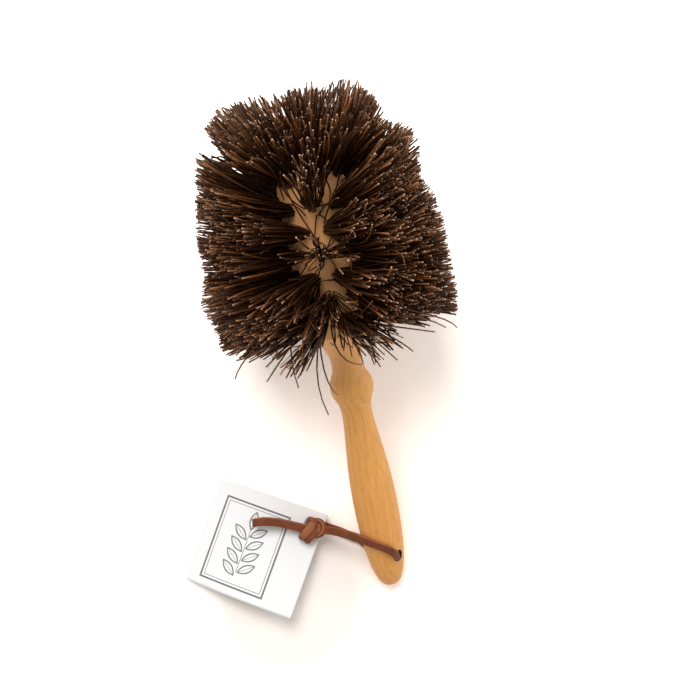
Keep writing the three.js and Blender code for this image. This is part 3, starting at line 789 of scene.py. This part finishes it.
def clear_of_wood(lines):
    """Moves fibres out of the wood beyond their roots."""
    end = on_table([0, 0, 0])
    axis = on_table([0, 1, 0]) - end
    along = (lines - end) @ axis
    away = lines - end - along[..., None] * axis
    sunk = body_radius(along) + FIBRE_CLEAR - np.linalg.norm(away, axis=-1)
    sunk[:, 0] = 0
    return lines + np.maximum(sunk, 0)[..., None] * unit(away)


def outline_shift(tips):
    """How far tips at the rim of the head move out or back."""
    away = tips - [*HEAD_MIDDLE, 0]
    away[:, 2] = 0
    distance = np.linalg.norm(away, axis=1, keepdims=True)
    turn = np.degrees(np.arctan2(away[:, 0], away[:, 1]))
    change = np.interp(turn, list(OUTLINE), list(OUTLINE.values()), period=360)
    return change[:, None] * np.clip(distance / OUTLINE_REACH, 0, 1) ** OUTLINE_FADE * away / distance


def curves(starts, bends, ends):
    """Points of quadratic curves, a row for each."""
    t = np.linspace(0, 1, FIBRE_RINGS)[None, :, None]
    return (1 - t) ** 2 * starts[:, None] + 2 * t * (1 - t) * bends[:, None] + t ** 2 * ends[:, None]


def tuft(rng, count, root, outward, angle, tip_along, spread_round, spread_along, parted=UNPARTED):
    """Centre lines of the fibres of a tuft on the core."""
    turn, shift, splay, share, stray_share = parted
    count = round(share * count)
    across = np.array([math.cos(angle), 0, -math.sin(angle)])
    forward = np.cross(outward, across)
    side, ahead = in_disc(rng, count)
    stray, off_side, off_ahead = scatter(rng, count, stray_share)
    in_tuft = side[:, None] * across + ahead[:, None] * forward
    roots = root + TUFT_RADIUS * in_tuft - FIBRE_DEPTH * outward
    tuft_angle = angle + math.radians(turn) + TUFT_TURN * rng.normal()
    tip_angle = tuft_angle + splay * spread_round * (side + off_side)
    tuft_at = tip_along + shift + TUFT_SHIFT * rng.normal()
    tip_at = tuft_at + splay * spread_along * (ahead + off_ahead)
    tip_radius = np.maximum(head_radius(tip_at), body_radius(tip_at) + FIBRE_CLEAR)
    return lines_of(rng, roots, outward, around(tip_angle, tip_at, tip_radius), stray)


def ring_tufts(rng, ring):
    """Tufts of a ring. Every other ring is turned by half a pitch."""
    along = FIRST_RING + ring * RING_PITCH
    for k in range(TUFTS_PER_RING):
        angle = RING_ROLL + 2 * math.pi * (k - 0.5 * (ring % 2)) / TUFTS_PER_RING
        tip_along = FIRST_RING + ring * TIP_PITCH - lean(ring, angle)
        root = around(angle, along, CORE_RADIUS)
        yield tuft(rng, FIBRES_PER_TUFT, root, around(angle, 0, 1), angle, tip_along,
                   SPREAD_ROUND, SPREAD_ALONG, PARTED.get((ring, k), UNPARTED))


def nose_tufts(rng):
    """Tufts of the ring on the nose, and the tuft at its end."""
    along = NOSE_AT + NOSE_RING_SHARE * NOSE_LENGTH
    radius = CORE_RADIUS * math.sqrt(1 - NOSE_RING_SHARE ** 2)
    tip_along = NOSE_END + NOSE_BRISTLE - NOSE_TIP_BACK
    for k in range(NOSE_TUFTS):
        angle = RING_ROLL + 2 * math.pi * k / NOSE_TUFTS
        outward = unit(around(angle, 1, 1))
        yield tuft(rng, FIBRES_PER_NOSE_TUFT, around(angle, along, radius), outward, angle, tip_along,
                   NOSE_SPREAD_ROUND, NOSE_SPREAD_ALONG)
    side, ahead = in_disc(rng, FIBRES_PER_NOSE_TUFT)
    stray, off_side, off_ahead = scatter(rng, FIBRES_PER_NOSE_TUFT)
    root_at = np.full_like(side, NOSE_END - FIBRE_DEPTH)
    roots = np.stack([TUFT_RADIUS * side, root_at, TUFT_RADIUS * ahead], 1)
    out = np.stack([side + off_side, ahead + off_ahead], 1)
    reach = NOSE_END + NOSE_BRISTLE - END_TUFT_DOME * (out ** 2).sum(1)
    tips = np.stack([END_TUFT_SPREAD * out[:, 0], reach, END_TUFT_SPREAD * out[:, 1]], 1)
    yield lines_of(rng, roots, np.array([0, 1, 0]), tips, stray)


def strays(place):
    """Centre lines of a group's single fibres, each through its place on the way."""
    roots, places, tips = (np.array(points, float) for points in zip(*STRAYS[place], strict=True))
    return curves(roots, 2 * places - (roots + tips) / 2, tips)


def above_table(points):
    """Lifts the points that lie below the table."""
    low = np.maximum(FIBRE_FLOOR - points[:, 2:], 0)
    return points + low * [0, 0, 1]


def fibre_points(lines, widths):
    """Rings of points round each centre line, and the last ring again for the cut end."""
    along = unit(np.gradient(lines, axis=1))
    chord = unit(lines[:, -1] - lines[:, 0])
    guide = np.where(np.abs(chord[:, 2:]) < STEEP, [(0, 0, 1)], [(1, 0, 0)])[:, None]
    normal = unit(np.cross(along, guide))
    binormal = np.cross(along, normal)
    turn = 2 * np.pi * np.arange(FIBRE_SIDES)[:, None] / FIBRE_SIDES
    circle = np.cos(turn) * normal[:, :, None] + np.sin(turn) * binormal[:, :, None]
    taper = np.linspace(1, FIBRE_TIP_TAPER, FIBRE_RINGS)[None, :, None, None]
    points = lines[:, :, None] + widths[:, None, None, None] / 2 * taper * circle
    return np.concatenate([points, points[:, -1:]], axis=1)


def fibre_faces(count):
    """Faces of that many fibres: the sides of all, then the cut ends, then the roots."""
    one = np.array(tube_faces(FIBRE_RINGS, FIBRE_SIDES)[:-2])
    first = (FIBRE_RINGS + 1) * FIBRE_SIDES * np.arange(count)
    sides = (first[:, None, None] + one).reshape(-1, 4)
    ends = first[:, None] + FIBRE_RINGS * FIBRE_SIDES + np.arange(FIBRE_SIDES)
    roots = first[:, None] + np.arange(FIBRE_SIDES)[::-1]
    return sides.tolist() + ends.tolist() + roots.tolist()


def fibre_layout(count):
    """A flat strip for each fibre in a grid of cells, in the order of the faces."""
    across = math.ceil(math.sqrt(2 * count))
    down = math.ceil(count / across)
    cell = np.stack([np.arange(count) % across, np.arange(count) // across], 1)
    rows = np.linspace(0, LAYOUT_SIDES_END, FIBRE_RINGS)
    columns = np.linspace(LAYOUT_MARGIN, 1 - LAYOUT_MARGIN, FIBRE_SIDES + 1)
    quads = [
        [(columns[k + right], rows[i + up]) for right, up in ((0, 0), (1, 0), (1, 1), (0, 1))]
        for i in range(FIBRE_RINGS - 1) for k in range(FIBRE_SIDES)
    ]
    turn = 2 * np.pi * np.arange(FIBRE_SIDES) / FIBRE_SIDES
    disc = np.stack([0.5 + LAYOUT_DISC[0] * np.cos(turn), LAYOUT_DISC[1] * np.sin(turn)], 1)
    size = np.array([across, down])
    sides = (cell[:, None, None] + np.array(quads)) / size
    ends = (cell[:, None] + disc + [0, LAYOUT_TIP_AT]) / size
    roots = (cell[:, None] + disc + [0, LAYOUT_ROOT_AT]) / size
    return np.concatenate([part.reshape(-1, 2) for part in (sides, ends, roots)])


def fibres(name, material, rng, tufts, cad_node, singles=()):
    """One object of a group's fibres, with the place along each and its tone as attributes."""
    lines = np.concatenate([*tufts, *singles])
    count = len(lines)
    widths = np.clip(rng.normal(FIBRE_WIDTH, FIBRE_WIDTH_SPREAD, count), *FIBRE_WIDTH_RANGE)
    is_dark = rng.random(count) < DARK_SHARE
    tones = np.where(is_dark, rng.beta(*DARK_TONES, count), rng.beta(*PALE_TONES, count))
    single = slice(count - sum(map(len, singles)), count)
    widths[single] = STRAY_WIDTH
    tones[single] = STRAY_TONE
    points = fibre_points(lines, widths)
    made = piece(name, points.reshape(-1, 3) + table_origin, fibre_faces(count), [material])
    share = np.append(np.linspace(0, 1, FIBRE_RINGS), CUT_MARK)
    along = np.tile(share[None, :, None], (count, 1, FIBRE_SIDES))
    along[single] *= STRAY_FADE
    tone = np.broadcast_to(tones[:, None, None], points.shape[:3])
    for attribute, values in (("along", along), ("tone", tone)):
        made.data.attributes.new(attribute, "FLOAT", "POINT").data.foreach_set("value", values.ravel())
    layout = made.data.uv_layers.new(name="OFBake")
    layout.data.foreach_set("uv", fibre_layout(count).ravel())
    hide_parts(cad_node)
    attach(made, "brush")


def all_fibres(material):
    rng = np.random.default_rng(SEED)
    groups = ("rear", "middle", "front")
    for group, place in enumerate(groups):
        rings = range(group * RINGS_PER_GROUP, (group + 1) * RINGS_PER_GROUP)
        tufts = [lines for ring in rings for lines in ring_tufts(rng, ring)]
        fibres(f"fibres_{place}", material, rng, tufts, f"bristles_{place}", [strays(place)])
    fibres("fibres_nose", material, rng, list(nose_tufts(rng)), "bristles_nose")


# Leather thong

def smooth_line(points):
    """An evenly stepped centripetal Catmull-Rom line through some points."""
    points = np.asarray(points, float)
    ends = np.concatenate([[2 * points[0] - points[1]], points, [2 * points[-1] - points[-2]]])
    at = np.concatenate([[0], np.cumsum(np.linalg.norm(np.diff(ends, axis=0), axis=1) ** 0.5)])

    def between(a, b, at_a, at_b, t):
        return ((at_b - t) * a + (t - at_a) * b) / (at_b - at_a)

    dense = []
    for i in range(1, len(ends) - 2):
        p, q = ends[i - 1:i + 3], at[i - 1:i + 3]
        t = np.linspace(q[1], q[2], CURVE_STEPS, endpoint=False)[:, None]
        first = [between(p[j], p[j + 1], q[j], q[j + 1], t) for j in range(3)]
        second = [between(first[j], first[j + 1], q[j], q[j + 2], t) for j in range(2)]
        dense.append(between(second[0], second[1], q[1], q[2], t))
    dense = np.concatenate([*dense, points[-1:]])
    travelled = np.concatenate([[0], np.cumsum(np.linalg.norm(np.diff(dense, axis=0), axis=1))])
    even = np.linspace(0, travelled[-1], round(travelled[-1] / THONG_STEP) + 1)
    return np.stack([np.interp(even, travelled, dense[:, i]) for i in range(3)], 1)


def line_length(line):
    return float(np.linalg.norm(np.diff(line, axis=0), axis=1).sum())


def strip(line, way, closed=False, squareness=SECTION_SQUARENESS, width_share=1):
    """A flat lace along a line: points, faces and how near each point is to an edge of the lace."""
    ends = np.concatenate([line[-1:], line, line[:1]]) if closed else line
    along = np.gradient(ends, axis=0)
    along = unit(along[1:-1] if closed else along)
    side = unit(way - (way * along).sum(1, keepdims=True) * along)
    face = np.cross(along, side)
    turn = 2 * np.pi * np.arange(SECTION_POINTS) / SECTION_POINTS
    power = 2 / squareness
    across = np.sign(np.cos(turn)) * np.abs(np.cos(turn)) ** power
    depth = np.sign(np.sin(turn)) * np.abs(np.sin(turn)) ** power
    width = np.reshape(width_share, (-1, 1, 1)) * THONG_WIDTH
    offset = width / 2 * across[None, :, None] * side[:, None]
    offset = offset + THONG_THICKNESS / 2 * depth[None, :, None] * face[:, None]
    points = (line[:, None] + offset).reshape(-1, 3)
    edge = np.tile(np.clip((np.abs(across) - EDGE_START) / (1 - EDGE_START), 0, 1), len(line))
    faces = tube_faces(len(line), SECTION_POINTS)
    if closed:
        faces = faces[:-2]
        last = (len(line) - 1) * SECTION_POINTS
        for k in range(SECTION_POINTS):
            following = (k + 1) % SECTION_POINTS
            faces.append((last + k, last + following, following, k))
    return points, faces, edge


def leather_piece(name, strips, material, cad_nodes):
    """One object from one or more laces."""
    points, faces, edges, count = [], [], [], 0
    for some_points, some_faces, some_edges in strips:
        points.append(some_points)
        edges.append(some_edges)
        faces.extend(tuple(corner + count for corner in face) for face in some_faces)
        count += len(some_points)
    made = piece(name, np.concatenate(points) + table_origin, faces, [material])
    # The edge attribute holds the cut edges and, in the knot, the painted highlight
    attribute = made.data.attributes.new("edge", "FLOAT", "POINT")
    attribute.data.foreach_set("value", np.concatenate(edges))
    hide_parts(*cad_nodes)
    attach(made, "brush")
    return made


def lace(name, points, ways, material, cad_nodes):
    """A lace along a route, with the way that its width lies at each point, and its centre line."""
    line = smooth_line(points)
    share = np.linspace(0, 1, len(line))
    places = np.linspace(0, 1, len(ways))
    way = np.stack([np.interp(share, places, np.array(ways)[:, i]) for i in range(3)], 1)
    return leather_piece(name, [strip(line, way)], material, cad_nodes), line


def by_hole(out, aside=0, along=0):
    """A place by the hang hole: out along its axis, aside from it round the grip and along the grip."""
    return on_table(around(HOLE_ROLL, HOLE_AT + along, out) + around(HOLE_ROLL - math.pi / 2, 0, aside))


def knot(material):
    """Loops of the lace round each other, with a highlight painted paler on their tops."""
    turn = np.linspace(0, 2 * np.pi, KNOT_STEPS, endpoint=False)[:, None]
    strips = []
    for heading, rise, reach, height, shift, highlight_strength in KNOT_LOOPS:
        heading, rise = math.radians(heading), math.radians(rise)
        first = np.array([math.cos(heading), math.sin(heading), 0])
        beside = np.array([-math.sin(heading), math.cos(heading), 0])
        second = math.cos(rise) * beside + [0, 0, math.sin(rise)]
        loop = reach * np.cos(turn) * first + height * np.sin(turn) * second
        line = np.array(KNOT_PLACE) + shift + loop
        way = np.broadcast_to(np.cross(first, second), line.shape)
        width_share = 1 - KNOT_NARROW * np.cos(turn) ** 2
        points, faces, edge = strip(line, way, True, KNOT_SQUARENESS, width_share)
        # Painted highlight: paler towards the top of each loop
        painted_highlight = highlight_strength * np.clip((points[:, 2] - KNOT_PLACE[2]) / height, 0, 1) ** 2
        strips.append((points, faces, np.maximum(edge, painted_highlight)))
    return leather_piece("thong_knot_leather", strips, material, ["thong_knot"])


def thong(material, tag):
    """The knot, and the lace in four stretches that meet in the hole and in the knot."""
    grip_way = (0, math.cos(TILT), math.sin(TILT))
    rim = body_radius(HOLE_AT)
    tied = knot(material)
    beside_rim = [by_hole(rim + out, aside, along) for out, aside, along in UPPER_BY_HOLE]
    upper_points = [by_hole(0), by_hole(rim / 2, ASIDE_IN_HOLE), *beside_rim, *UPPER_ROUTE]
    upper_ways = [grip_way] * (len(upper_points) - len(UPPER_ROUTE)) + UPPER_WAYS
    below = [by_hole(out) for out in (0, -rim / 2, GAP - rim, -rim - 2 * GAP)]
    lower_points = [*below, *LOWER_ROUTE]
    lower_ways = [grip_way] * (len(lower_points) - len(LOWER_WAYS)) + LOWER_WAYS
    upper_nodes = ["thong_in_hole", "thong_upper"]
    routes = [
        ("thong_upper_leather", upper_points, upper_ways, upper_nodes, "knot", [tied]),
        ("thong_lower_leather", lower_points, lower_ways, ["thong_lower"], "knot", [tag]),
        ("thong_tail_upper_leather", UPPER_TAIL, [TAIL_LEVEL] * 2, ["thong_tail_upper"], "bare", []),
        ("thong_tail_lower_leather", LOWER_TAIL, [TAIL_LEVEL] * 2, ["thong_tail_lower"], "bare", []),
    ]
    for name, points, ways, cad_nodes, far_end, on_it in routes:
        made, line = lace(name, points, ways, material, cad_nodes)
        path = (line + table_origin) * MM
        tuple(path[0])
        line_length(line) * MM
        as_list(on_it)


# Card tag

def tag_section():
    """Middle line of the folded card, from its lower free edge round the fold to the upper one."""
    free, fold = TAG_WIDTH - TAG_HOLE_EDGE, -TAG_HOLE_EDGE
    radius = (TAG_LEAF_GAP + TAG_LEAF) / 2
    flat = np.linspace(free, fold + radius, TAG_STEPS)
    bend = np.linspace(-np.pi / 2, -3 * np.pi / 2, FOLD_STEPS + 2)[1:-1]
    x = np.concatenate([flat, fold + radius + radius * np.cos(bend), flat[::-1]])
    z = np.concatenate([np.full(TAG_STEPS, -radius), radius * np.sin(bend), np.full(TAG_STEPS, radius)])
    return x, z


def tag_bend(x, y, upper):
    """How far the card stands above its flat place: an arch across it, and a leaf that springs open."""
    share = (x + TAG_HOLE_EDGE) / TAG_WIDTH
    down = (y + TAG_HOLE_EDGE) / TAG_HEIGHT
    arch = TAG_ARCH * 4 * share * (1 - share) * (TAG_ARCH_TOP + (1 - TAG_ARCH_TOP) * down)
    return arch + TAG_LIFT * (1 - share) * down + upper * TAG_SPRING * share ** TAG_SPRING_CURVE


def card_tag(plain, printed):
    """The folded card with its punched hole, printed on the outside of its upper leaf."""
    x, z = tag_section()
    y = np.linspace(-TAG_HOLE_EDGE, TAG_HEIGHT - TAG_HOLE_EDGE, TAG_STEPS)
    rows, columns = len(x), len(y)
    xx, yy = np.meshgrid(x, y, indexing="ij")
    upper = np.clip((z + TAG_LEAF_GAP) / (2 * TAG_LEAF_GAP), 0, 1)[:, None]
    middle = np.stack([xx, yy, z[:, None] + tag_bend(xx, yy, upper)], -1)
    normal = unit(np.cross(np.gradient(middle, axis=1), np.gradient(middle, axis=0)))
    sides = [middle + TAG_LEAF / 2 * normal, middle - TAG_LEAF / 2 * normal]
    points = np.concatenate([side.reshape(-1, 3) for side in sides])
    first_inner = rows * columns

    def corner(i, j, inner):
        return inner * first_inner + i * columns + j

    faces, inks = [], []
    for i in range(rows - 1):
        for j in range(columns - 1):
            quad = [(i, j), (i, j + 1), (i + 1, j + 1), (i + 1, j)]
            faces.append(tuple(corner(*place, 0) for place in quad))
            faces.append(tuple(corner(*place, 1) for place in quad[::-1]))
            inks.extend([0, int(i >= rows - TAG_STEPS)])
    rim = [(i, 0) for i in range(rows)]
    rim += [(rows - 1, j) for j in range(1, columns)]
    rim += [(i, columns - 1) for i in range(rows - 2, -1, -1)]
    rim += [(0, j) for j in range(columns - 2, 0, -1)]
    for here, following in zip(rim, rim[1:] + rim[:1], strict=True):
        faces.append((corner(*here, 0), corner(*following, 0), corner(*following, 1), corner(*here, 1)))
    turn = Matrix.Rotation(TAG_HEADING, 4, "Z") @ Matrix.Rotation(TAG_TILT, 4, "Y")
    place = Matrix.Translation(Vector(frame["joints"][0]["pos_m"])) @ turn
    made = piece("hang_tag_card", points, faces, [plain, printed], place)
    # The faces of the rim come last and stay plain
    for face, ink in zip(made.data.polygons, inks):
        face.material_index = ink
    reach = TAG_WIDTH / 4
    punch = np.array([(TAG_HOLE_DIAMETER / 2, -reach), (TAG_HOLE_DIAMETER / 2, reach)])
    cutter = lathe(punch, -reach, reach, HOLE_SIDES)
    cut(made, piece("tag_cutter", *cutter, [plain], place @ Matrix.Rotation(math.pi / 2, 4, "X")))
    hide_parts("hang_tag")
    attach(made, "tag")
    return made


# Camera

def camera():
    data = bpy.data.cameras.new("camera")
    data.sensor_width = SENSOR_WIDTH
    data.lens = SENSOR_WIDTH * CAMERA_HEIGHT / CAMERA_VIEW
    made = bpy.data.objects.new("camera", data)
    place = table_origin + [*CAMERA_PLACE, CAMERA_HEIGHT]
    made.location = Vector(place) * MM
    made.rotation_euler = (0, 0, CAMERA_ROLL)
    bpy.context.scene.collection.objects.link(made)
    bpy.context.scene.camera = made


# Floor and light

def shown(tree):
    """1 where the background is seen, straight or in a reflection."""
    path = node(tree, "ShaderNodeLightPath")
    seen = math_node(tree, "MAXIMUM", path.outputs["Is Camera Ray"], path.outputs["Is Glossy Ray"])
    return math_node(tree, "MAXIMUM", seen, path.outputs["Is Transmission Ray"])


def floor():
    """A floor that is white in the open and keeps a soft, warm shadow, painted less bright round the tag
    to deepen the tag's shadow.
    """
    material, tree, shader = new_material("floor")
    tree.nodes.remove(shader)
    bounce = node(tree, "ShaderNodeBsdfDiffuse", {"Color": FLOOR_BOUNCE})
    at = node(tree, "ShaderNodeTexCoord").outputs["Object"]
    away = node(tree, "ShaderNodeVectorMath", {
        0: at, 1: (table_origin + FLOOR_FADE_PLACE) * MM,
    }, operation="DISTANCE")
    fade = node(tree, "ShaderNodeMapRange", {
        "Value": away.outputs["Value"], "From Min": FLOOR_FADE[0] * MM, "From Max": FLOOR_FADE[1] * MM,
    })
    # Painted shade: a dimmer floor colour round the tag
    colour = mix(tree, fade.outputs[0], FLOOR_PAINTED_SHADE_BY_TAG, FLOOR_BY_HEAD)
    seen = node(tree, "ShaderNodeBsdfDiffuse", {"Color": colour})
    shaders = {0: shown(tree), 1: bounce.outputs[0], 2: seen.outputs[0]}
    mixed = node(tree, "ShaderNodeMixShader", shaders)
    tree.links.new(mixed.outputs[0], tree.nodes["Material Output"].inputs["Surface"])
    half = FLOOR_SIZE / 2
    corners = [(-half, -half, 0), (half, -half, 0), (half, half, 0), (-half, half, 0)]
    piece("floor", corners, [(0, 1, 2, 3)], [material])


def light():
    """An even fill from all round, which is seen as white, and two soft lamps."""
    world = bpy.data.worlds.new("world")
    world.use_nodes = True
    bpy.context.scene.world = world
    tree = world.node_tree
    background = tree.nodes["Background"]
    background.inputs["Color"].default_value = FILL_COLOUR
    level = node(tree, "ShaderNodeMapRange", {"Value": shown(tree), "To Min": FILL_LEVEL, "To Max": 1})
    tree.links.new(level.outputs[0], background.inputs["Strength"])
    for name, (place, size, power) in LAMPS.items():
        data = bpy.data.lights.new(name, "AREA")
        data.energy = power
        data.size = size * MM
        lamp = bpy.data.objects.new(name, data)
        lamp.location = Vector(place) * MM
        lamp.rotation_euler = (-lamp.location).to_track_quat("-Z", "Y").to_euler()
        bpy.context.scene.collection.objects.link(lamp)


camera()
thong(leather(), card_tag(card("tag_card", False), card("tag_card_printed", True)))
turned_body(beech())
all_fibres(plant_fibre())
floor()
light()
bpy.context.scene.view_settings.view_transform = "Standard"
